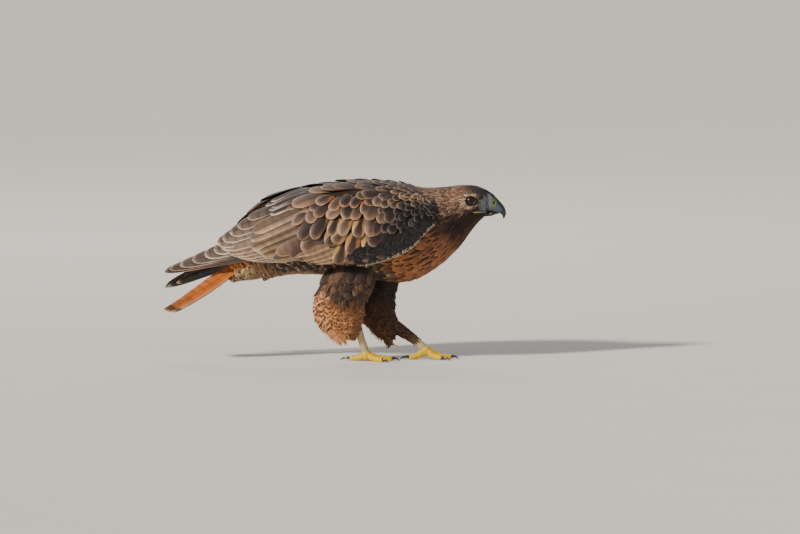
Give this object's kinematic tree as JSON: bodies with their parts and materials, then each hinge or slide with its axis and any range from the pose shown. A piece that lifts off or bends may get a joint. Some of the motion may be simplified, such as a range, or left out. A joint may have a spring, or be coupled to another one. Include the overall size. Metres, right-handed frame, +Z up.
{
  "type": "red tailed hawk",
  "caption": "Life-size red-tailed hawk walking with a level body and lowered head, wings folded over the back, tail closed and slanting down, feathered legs, flat feet.",
  "frame": {"origin": "on the floor, under the middle of the bird's bounding box", "axes": "+X the way the bird faces, +Y its left side, +Z up"},
  "size_m": [0.5146, 0.1834, 0.274],
  "materials": {
    "torso": "barred and streaked body feathers",
    "neck": "short streaked feathers",
    "head": "short fine feathers",
    "eye": "wet gloss",
    "cere": "bare waxy skin",
    "bill": "smooth horn",
    "wing": "layered vaned feathers",
    "tail": "vaned feathers",
    "thigh": "loose fluffy feathers",
    "shank": "scaled skin",
    "foot": "scaled skin",
    "claw": "polished horn"
  },
  "bodies": {
    "root": {"torso": "torso", "neck": "neck", "head": "head", "cere": "cere", "bill_upper": "bill", "bill_lower": "bill", "tail": "tail", "eye_right": "eye", "wing_right": "wing", "thigh_right": "thigh", "shank_right": "shank", "foot_right": "foot", "claw_right_1": "claw", "claw_right_2": "claw", "claw_right_3": "claw", "claw_right_4": "claw", "eye_left": "eye", "wing_left": "wing", "thigh_left": "thigh", "shank_left": "shank", "foot_left": "foot", "claw_left_1": "claw", "claw_left_2": "claw", "claw_left_3": "claw", "claw_left_4": "claw"}
  },
  "joints": []
}
